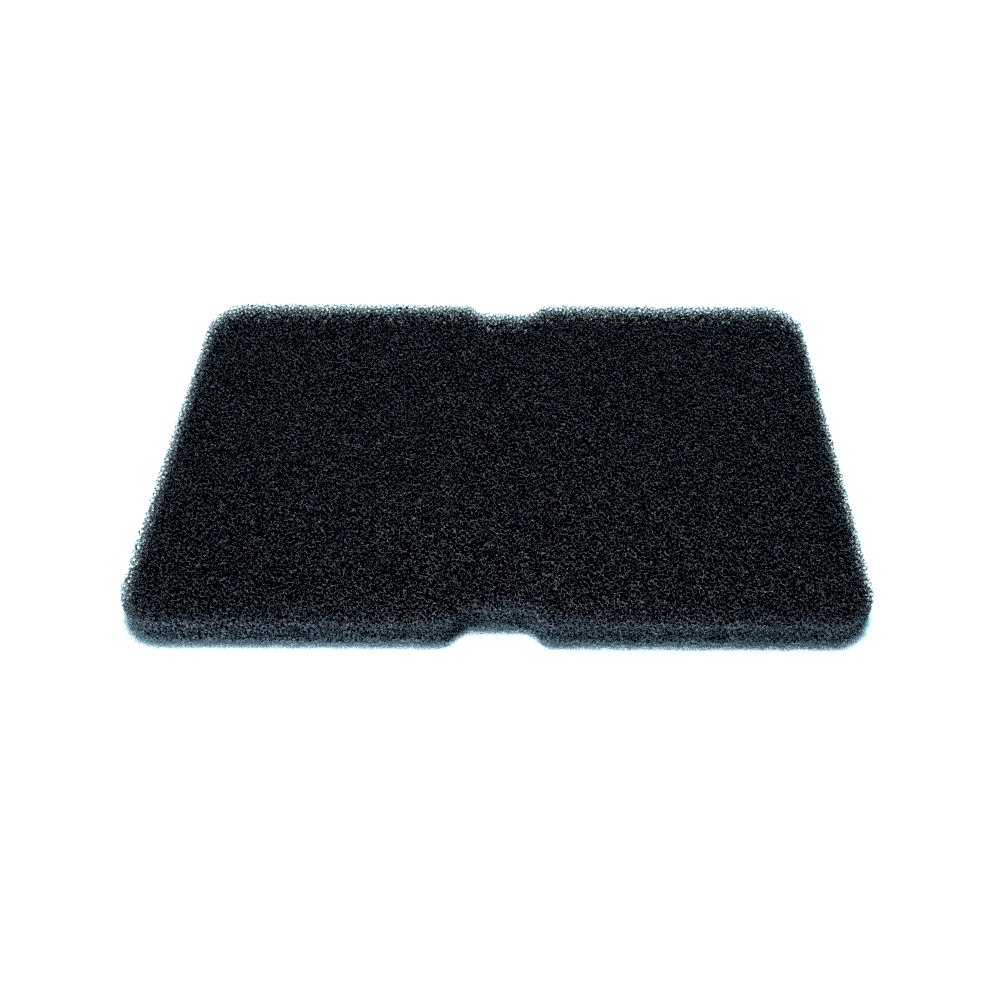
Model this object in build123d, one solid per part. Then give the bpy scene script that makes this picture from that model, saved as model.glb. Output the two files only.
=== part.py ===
from build123d import *
import os

# Foam air filter pad: one flat slab of open-cell foam, die-cut to fill the pocket of a filter
# frame. Its corners are rounded, and the middle of each long edge has a shallow notch with
# slanted sides, where a rib of the frame locates it. Both faces and both long edges are alike,
# so the pad fits either way up and either way round.
#
# Millimetres. +X runs along the pad, +Y across it and +Z up through its thickness. The origin
# is at the centre of the bottom face.

LENGTH = 240.0
WIDTH = 155.0
THICKNESS = 10.0
CORNER_RADIUS = 15.0

NOTCH_MOUTH = 31.0
NOTCH_FLOOR = 20.0
NOTCH_DEPTH = 5.5
NOTCH_MOUTH_RADIUS = 3.0
NOTCH_FLOOR_RADIUS = 2.0

FRONT = -1
BACK = 1


def notch(side):
    """The face cut out of the long edge at the FRONT or the BACK."""
    edge_y = side * WIDTH / 2
    floor_y = side * (WIDTH / 2 - NOTCH_DEPTH)
    outline = Polyline(
        (-NOTCH_MOUTH / 2, edge_y),
        (-NOTCH_FLOOR / 2, floor_y),
        (NOTCH_FLOOR / 2, floor_y),
        (NOTCH_MOUTH / 2, edge_y),
        close=True,
    )
    return make_face(outline)


def soften(outline, spacing, radius):
    """Rounds the corners of the outline that stand spacing apart, about the pad's middle."""
    half = spacing / 2
    corners = outline.vertices().filter_by(lambda corner: abs(abs(corner.X) - half) < radius / 10)
    return fillet(corners, radius)


def foam_filter_pad():
    outline = RectangleRounded(LENGTH, WIDTH, CORNER_RADIUS) - notch(FRONT) - notch(BACK)
    outline = soften(outline, NOTCH_MOUTH, NOTCH_MOUTH_RADIUS)
    outline = soften(outline, NOTCH_FLOOR, NOTCH_FLOOR_RADIUS)
    return extrude(outline, THICKNESS)


os.makedirs("parts", exist_ok=True)
export_step(foam_filter_pad(), "parts/foam_filter_pad.step")
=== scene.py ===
"""Looks of the foam air filter pad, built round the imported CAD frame.

The pad is reticulated foam: a net of thin struts with nothing between them. The struts are the
edges of packed polyhedral cells. The cells are packed once in a cube tile that repeats, the tile
is turned and copied over the pad, and the net is cut at the pad's faces and outline, as the sheet
and the die cut the real foam.
"""

import collections
import itertools
import math

import bpy
import numpy as np
from mathutils import Matrix, Vector


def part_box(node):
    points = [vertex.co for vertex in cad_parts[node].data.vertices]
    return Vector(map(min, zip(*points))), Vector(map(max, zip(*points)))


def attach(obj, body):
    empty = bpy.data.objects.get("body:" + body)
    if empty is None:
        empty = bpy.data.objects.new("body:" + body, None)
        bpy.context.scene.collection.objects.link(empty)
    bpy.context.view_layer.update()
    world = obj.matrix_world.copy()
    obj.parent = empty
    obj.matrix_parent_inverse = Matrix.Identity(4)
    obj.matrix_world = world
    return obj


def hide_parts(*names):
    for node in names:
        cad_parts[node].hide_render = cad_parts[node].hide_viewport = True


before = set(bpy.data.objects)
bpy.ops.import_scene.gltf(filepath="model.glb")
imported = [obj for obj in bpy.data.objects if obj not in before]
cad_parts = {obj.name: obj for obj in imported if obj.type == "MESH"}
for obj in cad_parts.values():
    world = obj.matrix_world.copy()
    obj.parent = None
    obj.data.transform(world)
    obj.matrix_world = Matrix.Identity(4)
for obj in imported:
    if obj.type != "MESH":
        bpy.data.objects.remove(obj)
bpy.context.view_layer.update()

NODE = "foam_filter_pad"
MM = 0.001

# The pad's outline, in millimetres, as in the CAD.
CORNER_RADIUS = 15.0
NOTCH_MOUTH = 31.0
NOTCH_FLOOR = 20.0
NOTCH_DEPTH = 5.5
NOTCH_ROUNDING = 2.0

# The foam, in millimetres. It is fine where it can be seen, and coarser deep in the pad.
CELL = 1.6  # cube root of a cell's volume
DEEP_CELL = 4.0
RIM = 3.3  # how far the fine net reaches in from the outline
TOP_SHELL = 1.95
UNDER_SHELL = 1.2
TURN = (0.61, 0.37, 1.13)  # the net's turn from the pad's axes, in radians
BLOCKS = (8, 4)  # pieces along the pad's length and width
DEEP_BLOCKS = (3, 1)

# The net, in cells.
TILE_CELLS = 8  # cells along the side of the tile that repeats
STRUT_REACH = 0.08  # from the middle of a node to the struts' three ridges there
DEEP_REACH = 0.15
SHORT_STRUT_SHARE = 0.42  # a ridge starts at most this share of its strut away from the node
SEED = 7
PACK_STEPS = 40
PACK_REACH = 1.1  # centres nearer than this many cells push apart
PACK_SHARE = 0.5
NEAREST = 32  # neighbours that can share a wall with a cell
TINY = 1e-9
LOOP_DOUBLINGS = 6  # a loop round a cut strut has fewer edges than two to this power

# The foam's looks.
FOAM_DARK = (0.028, 0.033, 0.040)
FOAM_PALE = (0.060, 0.067, 0.078)
FOAM_ROUGHNESS = (0.33, 0.46)
FOAM_GLOSS = 1.0
DEEP_GLOSS = 0.1
NOISE_SCALE = 900.0  # patches a little over a millimetre across
NOISE_DETAIL = 3.0
NOISE_RANGE = (0.35, 0.7)

# The studio, in metres and watts.
FLOOR_RADIUS = 0.45  # no wider than the lamps keep bright
FLOOR_SIDES = 96
FLOOR_COLOR = (0.33, 0.38, 0.395)
FLOOR_ROUGHNESS = 0.9
SKY_COLOR = (0.55, 0.78, 1.0)
SKY_STRENGTH = 0.06
BACKDROP_COLOR = (1.0, 1.0, 1.0)
Lamp = collections.namedtuple("Lamp", "name place size power color")
LAMPS = (
    Lamp("overhead", (0, 0.2, 1.0), (0.3, 0.12), 24.0, (1.0, 0.98, 0.94)),
    Lamp("front_fill", (-0.6, -1.0, 0.1), (1.2, 0.2), 40.0, (0.82, 0.95, 1.0)),
    Lamp("rear_fill", (0.7, 1.0, 0.35), (1.2, 0.3), 14.0, (0.6, 0.9, 1.0)),
)

# The view.
BLACK_POINT = (0.0435, 0.0465, 0.0473)
WHITE_POINT = (0.42, 0.42, 0.42)
GAMMA = 0.6
PIXEL_FILTER = 1.8
BRIGHTEST_DIRECT = 0.8  # keeps single lucky light paths from leaving white dots on the struts
BRIGHTEST_BOUNCED = 0.5
CAMERA_PLACE = (0.01068, -0.23285, 0.26049)
CAMERA_HEADING = -0.089  # degrees from straight ahead, along +Y
CAMERA_TILT = 50.579  # degrees below the horizon
CAMERA_ROLL = 0.351
CAMERA_LENS = 34.07  # millimetres, on a sensor of the width below
CAMERA_SENSOR = 36.0
CAMERA_SHIFT = -0.032
CAMERA_CLIP = (0.01, 20.0)

random = np.random.default_rng(SEED)


# ---------------------------------------------------------------- the net of struts in one tile


def packed_centres(count, tile):
    """Cell centres in a cube that repeats, pushed apart until they pack as in a froth."""
    centres = random.random((count, 3)) * tile
    reach = PACK_REACH * tile / TILE_CELLS
    for _ in range(PACK_STEPS):
        gap = centres[:, None] - centres[None]
        gap -= tile * np.round(gap / tile)
        distance = np.sqrt((gap**2).sum(2))
        np.fill_diagonal(distance, tile)
        push = np.clip(reach - distance, 0, None) / distance
        centres = (centres + PACK_SHARE * (push[..., None] * gap).sum(1)) % tile
    return centres


def cell_corners(centres, tile):
    """The corners of every cell: each is as far from its own cell's centre as from three others.

    Returns, for each corner of each cell, the cell, the three neighbours, and the place."""
    gap = centres[None] - centres[:, None]
    gap -= tile * np.round(gap / tile)
    order = np.argsort((gap**2).sum(2), axis=1)[:, 1 : NEAREST + 1]
    triples = np.array(list(itertools.combinations(range(NEAREST), 3)))
    cells, neighbours, places = [], [], []
    for cell, near in enumerate(order):
        around = gap[cell, near]
        half = (around**2).sum(1) / 2
        a, b, c = (around[triples[:, k]] for k in range(3))
        bc, ca, ab = np.cross(b, c), np.cross(c, a), np.cross(a, b)
        volume = (a * bc).sum(1)
        volume[np.abs(volume) < TINY] = TINY
        place = half[triples[:, 0], None] * bc
        place += half[triples[:, 1], None] * ca
        place += half[triples[:, 2], None] * ab
        place /= volume[:, None]
        empty = (place @ around.T <= half + TINY).all(1)
        cells.append(np.full(empty.sum(), cell))
        neighbours.append(near[triples[empty]])
        places.append(centres[cell] + place[empty])
    return np.concatenate(cells), np.concatenate(neighbours), np.concatenate(places)


PAIRS = np.array(list(itertools.combinations(range(4), 2)))  # the six films at a node
PAIR_OF = np.zeros((4, 4), int)
PAIR_OF[PAIRS[:, 0], PAIRS[:, 1]] = range(6)
PAIR_OF[PAIRS[:, 1], PAIRS[:, 0]] = range(6)


def nodes_of(cells, neighbours, places, tile):
    """The four cells and the place of each node, and each corner's node and whole tiles off it."""
    four = np.sort(np.column_stack([cells, neighbours]), axis=1)
    quads, first, node = np.unique(four, axis=0, return_index=True, return_inverse=True)
    node = node.ravel()
    home = places[first]
    shift = np.round((places - home[node]) / tile).astype(int)
    return quads, home, node, shift


def struts_of(cells, neighbours, node, shift):
    """Each strut's three cells, its two nodes, and the whole tiles from its first to its second.

    Each strut is found once, from the lowest numbered of the three cells round it."""
    slots = np.array(list(itertools.combinations(range(3), 2)))
    pair = np.sort(neighbours[:, slots], axis=2).reshape(-1, 2)
    corner = np.repeat(np.arange(len(cells)), 3)
    lowest = cells[corner] < pair[:, 0]
    key = np.column_stack([cells[corner], pair])[lowest]
    corner = corner[lowest]
    order = np.lexsort(key.T[::-1])
    key, corner = key[order], corner[order]
    start = np.flatnonzero((key[1:] == key[:-1]).all(1))
    one, two = corner[start], corner[start + 1]
    ends = np.column_stack([node[one], node[two]])
    return key[start], ends, shift[two] - shift[one]


def ridge_points(quads, trio, ends, line, strut_reach):
    """The six ridge points round each node, one on each film that met there.

    Also returns the way each node's struts go, each filed under the one cell of the node that the
    strut doesn't touch, and where a strut's cells stand among those of its two nodes."""
    length = np.sqrt((line**2).sum(1))
    towards = np.zeros((len(quads), 4, 3))
    span = np.zeros((len(quads), 4))
    standing = []
    for end, sign in ((0, 1), (1, -1)):
        cell_numbers = quads[ends[:, end]]
        place_of = (cell_numbers[:, None] == trio[:, :, None]).argmax(2)
        standing.append(place_of)
        missing = 6 - place_of.sum(1)
        towards[ends[:, end], missing] = sign * line / length[:, None]
        span[ends[:, end], missing] = length
    ridge = np.zeros((len(quads), 6, 3))
    for film, (p, q) in enumerate(PAIRS):
        r, s = sorted({0, 1, 2, 3} - {p, q})
        middle = towards[:, r] + towards[:, s]
        middle /= np.sqrt((middle**2).sum(1))[:, None]
        reach = np.minimum(strut_reach, SHORT_STRUT_SHARE * np.minimum(span[:, r], span[:, s]))
        ridge[:, film] = reach[:, None] * middle
    return ridge, towards, standing


def strut_films(ridge, ends, line, standing):
    """A strut's three films, in the same order at both ends, anticlockwise seen from its end."""
    films = [PAIR_OF[at[:, [0, 1, 2]], at[:, [1, 2, 0]]] for at in standing]
    a, b, c = (ridge[ends[:, 0], films[0][:, k]] for k in range(3))
    clockwise = (np.cross(b - a, c - a) * line).sum(1) < 0
    for order in films:
        order[clockwise] = order[clockwise][:, ::-1]
    return films


def node_faces(ridge, towards):
    """The four faces of each node, each looking into one of its cells."""
    looking = []
    for cell in range(4):
        others = [k for k in range(4) if k != cell]
        looking.append([PAIR_OF[cell, k] for k in others])
    looking = np.array(looking)[None].repeat(len(ridge), 0)
    points = np.take_along_axis(ridge[:, None].repeat(4, 1), looking[..., None], 2)
    out = np.cross(points[:, :, 1] - points[:, :, 0], points[:, :, 2] - points[:, :, 0])
    inward = (out * -towards).sum(2) < 0
    looking[inward] = looking[inward][:, ::-1]
    return looking


Net = collections.namedtuple("Net", "home ridge looking ends step films")


def strut_net(centres, tile, strut_reach):
    """The net in one tile: nodes, struts, and the ridge points and faces of the struts' skin.

    Four cells meet at a node, three round a strut and two at a film. A strut's three sides run
    between the ridge points that its two nodes have on the same film."""
    cells, neighbours, places = cell_corners(centres, tile)
    quads, home, node, shift = nodes_of(cells, neighbours, places, tile)
    trio, ends, step = struts_of(cells, neighbours, node, shift)
    line = home[ends[:, 1]] + step * tile - home[ends[:, 0]]
    ridge, towards, standing = ridge_points(quads, trio, ends, line, strut_reach)
    films = strut_films(ridge, ends, line, standing)
    return Net(home, ridge, node_faces(ridge, towards), ends, step, films)


# ---------------------------------------------------------------- the pad's outline


def outside_by(x, y, half_length, half_width):
    """How far a point lies outside the pad's outline, in millimetres, and below zero inside it."""
    across = np.abs(x) - (half_length - CORNER_RADIUS)
    along = np.abs(y) - (half_width - CORNER_RADIUS)
    corner = np.hypot(np.maximum(across, 0), np.maximum(along, 0))
    slab = corner + np.minimum(np.maximum(across, along), 0) - CORNER_RADIUS

    run = (NOTCH_MOUTH - NOTCH_FLOOR) / 2
    slant = math.hypot(run, NOTCH_DEPTH)
    floor = half_width - NOTCH_DEPTH - np.abs(y)
    flank = ((np.abs(x) - NOTCH_MOUTH / 2) * NOTCH_DEPTH + (half_width - np.abs(y)) * run) / slant
    rounding = NOTCH_ROUNDING
    inner = np.hypot(np.maximum(floor + rounding, 0), np.maximum(flank + rounding, 0))
    notch = inner + np.minimum(np.maximum(floor, flank) + rounding, 0) - rounding
    mouth = np.maximum(rounding - np.abs(slab + notch), 0) / rounding
    return np.maximum(slab, -notch) + rounding * mouth**2 / 4


# ---------------------------------------------------------------- cutting


def closing_fans(head, tail, count):
    """Triangles that close the loops of a cut. Its edges run head to tail in small loops, and
    each loop is closed as a fan from its lowest numbered point."""
    follow = np.arange(count)
    follow[head] = tail
    apex = np.arange(count)
    for _ in range(LOOP_DOUBLINGS):
        apex = np.minimum(apex, apex[follow])
        follow = follow[follow]
    fan = np.column_stack([apex[head], head, tail])
    return fan[(fan[:, 0] != fan[:, 1]) & (fan[:, 0] != fan[:, 2])]


def cut(points, faces, flat, outside):
    """Takes away what has outside above zero, and closes each cut strut with a flat end."""
    beyond = outside > 0
    count = beyond[faces].sum(1)
    whole = count == 0
    crossing = (count == 1) | (count == 2)
    tri, kind, was_flat = faces[crossing], count[crossing], flat[crossing]
    lone = (beyond[tri] == (kind == 1)[:, None]).argmax(1)
    turned = (lone[:, None] + np.arange(3)) % 3
    a, b, c = np.take_along_axis(tri, turned, 1).T

    edges = np.sort(np.concatenate([np.column_stack([a, b]), np.column_stack([a, c])]), axis=1)
    key = edges[:, 0] * len(points) + edges[:, 1]
    _, first, made = np.unique(key, return_index=True, return_inverse=True)
    low, high = edges[first].T
    share = (outside[low] / (outside[low] - outside[high]))[:, None]
    fresh = points[low] + share * (points[high] - points[low])
    made = made.ravel() + len(points)
    ab, ac = made[: len(a)], made[len(a) :]

    tip = kind == 2
    base = ~tip
    head = np.where(tip, ac, ab) - len(points)
    tail = np.where(tip, ab, ac) - len(points)
    fan = closing_fans(head, tail, len(fresh))
    kept = np.concatenate(
        [
            faces[whole],
            np.column_stack([a, ab, ac])[tip],
            np.column_stack([b, c, ac])[base],
            np.column_stack([b, ac, ab])[base],
            fan + len(points),
        ]
    )
    kept_flat = np.concatenate(
        [flat[whole], was_flat[tip], was_flat[base], was_flat[base], np.ones(len(fan), bool)]
    )

    points = np.concatenate([points, fresh])
    used, faces = np.unique(kept, return_inverse=True)
    return points[used], faces.reshape(-1, 3), kept_flat


# ---------------------------------------------------------------- the net over the pad


def turn_matrix():
    """The turn from the net's axes to the pad's."""
    turns = [Matrix.Rotation(angle, 3, axis) for angle, axis in zip(TURN, "XYZ")]
    return np.array(turns[2] @ turns[1] @ turns[0])


def tile_copies(tile, turn, half, margin):
    """The whole tiles from the middle to each copy that can touch the pad.

    Also returns a cube that gives the number of the copy at a place, and the place in that cube
    that stands for the middle."""
    span = int(np.ceil(np.linalg.norm(half) / tile)) + 1
    offsets = np.array(list(itertools.product(range(-span, span + 1), repeat=3)))
    centre = (offsets + 0.5) * tile @ turn.T
    near = (np.abs(centre) < half + tile * math.sqrt(3) / 2 + margin).all(1)
    offsets = offsets[near]
    origin = span + 1
    copy_at = np.full((2 * origin + 1,) * 3, -1)
    copy_at[tuple((offsets + origin).T)] = np.arange(len(offsets))
    return offsets, copy_at, origin


def kept_struts(net, offsets, copy_at, origin, inside):
    """The two nodes, and the number in the tile, of every strut that has a node inside."""
    copies = np.arange(len(offsets))
    near_end = (copies[:, None] * len(net.home) + net.ends[None, :, 0]).ravel()
    there = copy_at[tuple(np.moveaxis(offsets[:, None] + net.step[None] + origin, 2, 0))]
    far_end = (there * len(net.home) + net.ends[None, :, 1]).ravel()
    exists = there.ravel() >= 0
    wanted = exists & (inside[near_end] | inside[np.where(exists, far_end, 0)])
    which = np.tile(np.arange(len(net.ends)), len(offsets))
    return near_end[wanted], far_end[wanted], which[wanted]


def skin_faces(net, struts, inside, block):
    """All the faces of the net's skin, as ridge point numbers, and the block that each is in.

    A strut is in its first node's block, or in its second's where only that one is inside. Where
    a strut and its node aren't in the same block, both are closed with a flat end."""
    near_end, far_end, which = struts
    start = near_end[:, None] * 6 + net.films[0][which]
    finish = far_end[:, None] * 6 + net.films[1][which]
    owner = np.where(inside[near_end], block[near_end], block[far_end])
    parts = []
    owners = []
    for k in range(3):
        n = (k + 1) % 3
        parts.append(np.column_stack([start[:, k], start[:, n], finish[:, n]]))
        parts.append(np.column_stack([start[:, k], finish[:, n], finish[:, k]]))
        owners += [owner] * 2
    own_near = inside[near_end] & (block[near_end] == owner)
    own_far = inside[far_end] & (block[far_end] == owner)
    parts += [start[~own_near][:, ::-1], finish[~own_far]]
    owners += [owner[~own_near], owner[~own_far]]
    left = inside[far_end] & ~own_far
    parts.append(finish[left][:, ::-1])
    owners.append(block[far_end][left])
    own = np.flatnonzero(inside)
    for side in range(4):
        parts.append(own[:, None] * 6 + net.looking[own % len(net.home), side])
        owners.append(block[own])
    return np.concatenate(parts), np.concatenate(owners)


def foam_mesh(name, points, faces, flat):
    """A mesh in metres, with smooth struts, flat cut ends, and a map that looks straight down."""
    mesh = bpy.data.meshes.new(name)
    mesh.vertices.add(len(points))
    mesh.vertices.foreach_set("co", (points * MM).astype(np.float32).ravel())
    mesh.loops.add(faces.size)
    mesh.loops.foreach_set("vertex_index", faces.astype(np.int32).ravel())
    mesh.polygons.add(len(faces))
    mesh.polygons.foreach_set("loop_start", np.arange(0, faces.size, 3, dtype=np.int32))
    mesh.polygons.foreach_set("use_smooth", ~flat)
    mesh.update(calc_edges=True)
    low, high = points.min(0)[:2], points.max(0)[:2]
    plan = ((points[:, :2] - low) / (high - low))[faces.ravel()]
    uv = mesh.uv_layers.new(name="OFBake")
    uv.uv.foreach_set("vector", plan.astype(np.float32).ravel())
    return mesh


def net_pieces(name, net, cell, strut_reach, cuts, bounds, blocks, middle, half):
    """Copies the net over the part of the pad where every field is below zero, in blocks.

    It is cut where a field of cuts is zero, and ends in whole struts at a field of bounds."""
    tile = TILE_CELLS * cell
    margin = strut_reach * cell
    turn = turn_matrix()
    offsets, copy_at, origin = tile_copies(tile, turn, half, margin)
    nodes = (net.home[None] * cell + offsets[:, None] * tile).reshape(-1, 3) @ turn.T
    inside = np.ones(len(nodes), bool)
    for field in cuts + bounds:
        inside &= field(nodes) < margin
    across, along = (
        np.clip(((nodes[:, k] / half[k] + 1) / 2 * blocks[k]).astype(int), 0, blocks[k] - 1)
        for k in (0, 1)
    )
    block = across * blocks[1] + along

    struts = kept_struts(net, offsets, copy_at, origin, inside)
    faces, owners = skin_faces(net, struts, inside, block)
    order = np.argsort(owners, kind="stable")
    faces, owners = faces[order], owners[order]
    limits = np.searchsorted(owners, np.arange(blocks[0] * blocks[1] + 1))

    pieces = []
    for number in range(blocks[0] * blocks[1]):
        used, mine = np.unique(faces[limits[number] : limits[number + 1]], return_inverse=True)
        mine = mine.reshape(-1, 3)
        node, film = used // 6, used % 6
        points = nodes[node] + net.ridge[node % len(net.home), film] * cell @ turn.T
        flat = np.zeros(len(mine), bool)
        for field in cuts:
            points, mine, flat = cut(points, mine, flat, field(points))
        piece_name = f"{name}_{number // blocks[1]}_{number % blocks[1]}"
        mesh = foam_mesh(piece_name, points + middle, mine, flat)
        piece = bpy.data.objects.new(piece_name, mesh)
        bpy.context.collection.objects.link(piece)
        pieces.append(piece)
    return pieces


def foam_pieces():
    """The fine foam that can be seen, and the coarser foam deep in the pad."""
    low, high = (np.array(corner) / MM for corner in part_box(NODE))
    middle = (low + high) / 2
    half = (high - low) / 2

    def above(p):
        return p[:, 2] - half[2]

    def below(p):
        return -p[:, 2] - half[2]

    def beside(p):
        return outside_by(p[:, 0], p[:, 1], half[0], half[1])

    def deep(p):
        """How far a point lies inside the deep part of the pad."""
        top = half[2] - TOP_SHELL - p[:, 2]
        under = half[2] - UNDER_SHELL + p[:, 2]
        return np.minimum(-beside(p) - RIM, np.minimum(top, under))

    def shallow(p):
        return -deep(p)

    centres = packed_centres(TILE_CELLS**3, TILE_CELLS)
    fine_net = strut_net(centres, TILE_CELLS, STRUT_REACH)
    deep_net = strut_net(centres, TILE_CELLS, DEEP_REACH)
    sides = [above, below, beside]
    fine_pieces = net_pieces(
        "foam", fine_net, CELL, STRUT_REACH, sides, [deep], BLOCKS, middle, half
    )
    deep_pieces = net_pieces(
        "foam_deep", deep_net, DEEP_CELL, DEEP_REACH, [shallow], [], DEEP_BLOCKS, middle, half
    )
    fine_foam = foam_material("black_foam", FOAM_GLOSS)
    deep_foam = foam_material("black_foam_deep", DEEP_GLOSS)
    for piece in fine_pieces:
        piece.data.materials.append(fine_foam)
    for piece in deep_pieces:
        piece.data.materials.append(deep_foam)
    return fine_pieces + deep_pieces


# ---------------------------------------------------------------- material


def foam_material(name, gloss):
    """Black polyurethane: a blue-black that varies from strut to strut, as does its roughness."""
    material = bpy.data.materials.new(name)
    material.use_nodes = True
    tree = material.node_tree
    shader = tree.nodes["Principled BSDF"]
    shader.inputs["Specular IOR Level"].default_value = gloss
    place = tree.nodes.new("ShaderNodeTexCoord")
    noise = tree.nodes.new("ShaderNodeTexNoise")
    noise.inputs["Scale"].default_value = NOISE_SCALE
    noise.inputs["Detail"].default_value = NOISE_DETAIL
    tree.links.new(place.outputs["Object"], noise.inputs["Vector"])
    ramp = tree.nodes.new("ShaderNodeValToRGB")
    stops = zip(ramp.color_ramp.elements, NOISE_RANGE, (FOAM_DARK, FOAM_PALE))
    for stop, position, color in stops:
        stop.position = position
        stop.color = (*color, 1)
    tree.links.new(noise.outputs["Fac"], ramp.inputs["Fac"])
    tree.links.new(ramp.outputs["Color"], shader.inputs["Base Color"])
    wear = tree.nodes.new("ShaderNodeMapRange")
    wear.inputs["From Min"].default_value = NOISE_RANGE[0]
    wear.inputs["From Max"].default_value = NOISE_RANGE[1]
    wear.inputs["To Min"].default_value = FOAM_ROUGHNESS[0]
    wear.inputs["To Max"].default_value = FOAM_ROUGHNESS[1]
    tree.links.new(noise.outputs["Fac"], wear.inputs["Value"])
    tree.links.new(wear.outputs["Result"], shader.inputs["Roughness"])
    return material


# ---------------------------------------------------------------- studio


def studio_floor():
    """A round pale floor. Past its edge the white backdrop carries on."""
    low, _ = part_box(NODE)
    mesh = bpy.data.meshes.new("studio_floor")
    turns = [2 * math.pi * side / FLOOR_SIDES for side in range(FLOOR_SIDES)]
    rim = [(FLOOR_RADIUS * math.cos(turn), FLOOR_RADIUS * math.sin(turn), low.z) for turn in turns]
    mesh.from_pydata(rim, [], [range(FLOOR_SIDES)])
    material = bpy.data.materials.new("studio_white")
    material.use_nodes = True
    shader = material.node_tree.nodes["Principled BSDF"]
    shader.inputs["Base Color"].default_value = (*FLOOR_COLOR, 1)
    shader.inputs["Roughness"].default_value = FLOOR_ROUGHNESS
    mesh.materials.append(material)
    floor = bpy.data.objects.new("studio_floor", mesh)
    bpy.context.collection.objects.link(floor)


def studio_world():
    """A dim sky that lights the pad, and a white backdrop behind it for the camera."""
    world = bpy.data.worlds.new("studio")
    world.use_nodes = True
    tree = world.node_tree
    sky = tree.nodes["Background"]
    sky.inputs["Color"].default_value = (*SKY_COLOR, 1)
    sky.inputs["Strength"].default_value = SKY_STRENGTH
    backdrop = tree.nodes.new("ShaderNodeBackground")
    backdrop.inputs["Color"].default_value = (*BACKDROP_COLOR, 1)
    ray = tree.nodes.new("ShaderNodeLightPath")
    choice = tree.nodes.new("ShaderNodeMixShader")
    tree.links.new(ray.outputs["Is Camera Ray"], choice.inputs["Fac"])
    tree.links.new(sky.outputs["Background"], choice.inputs[1])
    tree.links.new(backdrop.outputs["Background"], choice.inputs[2])
    tree.links.new(choice.outputs["Shader"], tree.nodes["World Output"].inputs["Surface"])
    bpy.context.scene.world = world


def studio_lamps():
    """Soft rectangular lamps, all aimed at the pad."""
    for lamp in LAMPS:
        data = bpy.data.lights.new(lamp.name, "AREA")
        data.color = lamp.color
        data.shape = "RECTANGLE"
        data.size, data.size_y = lamp.size
        data.energy = lamp.power
        light = bpy.data.objects.new(lamp.name, data)
        light.location = lamp.place
        light.rotation_euler = (-Vector(lamp.place)).to_track_quat("-Z", "Y").to_euler()
        bpy.context.collection.objects.link(light)


def photo_tone():
    """The hard contrast of a cut-out product picture: black holes and a burnt-out floor.

    There is no denoising, which takes the struts for noise and smears them."""
    scene = bpy.context.scene
    view = scene.view_settings
    view.view_transform = "Standard"
    view.gamma = GAMMA
    view.use_curve_mapping = True
    view.curve_mapping.black_level = BLACK_POINT
    view.curve_mapping.white_level = WHITE_POINT
    view.curve_mapping.update()
    scene.cycles.filter_width = PIXEL_FILTER
    scene.cycles.sample_clamp_direct = BRIGHTEST_DIRECT
    scene.cycles.sample_clamp_indirect = BRIGHTEST_BOUNCED
    scene.cycles.use_adaptive_sampling = False
    scene.cycles.use_denoising = False


def photo_camera():
    """The camera where the picture of the real pad was taken from."""
    data = bpy.data.cameras.new("camera")
    data.sensor_width = CAMERA_SENSOR
    data.lens = CAMERA_LENS
    data.shift_x = CAMERA_SHIFT
    data.clip_start, data.clip_end = CAMERA_CLIP
    camera = bpy.data.objects.new("camera", data)
    camera.location = CAMERA_PLACE
    heading = Matrix.Rotation(math.radians(CAMERA_HEADING), 3, "Z")
    tilt = Matrix.Rotation(math.radians(90 - CAMERA_TILT), 3, "X")
    roll = Matrix.Rotation(math.radians(CAMERA_ROLL), 3, "Z")
    camera.rotation_euler = (heading @ tilt @ roll).to_euler()
    bpy.context.collection.objects.link(camera)
    bpy.context.scene.camera = camera


# ---------------------------------------------------------------- the scene

foam = foam_pieces()
for piece in foam:
    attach(piece, "root")
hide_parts(NODE)

studio_floor()
studio_world()
studio_lamps()
photo_tone()
photo_camera()
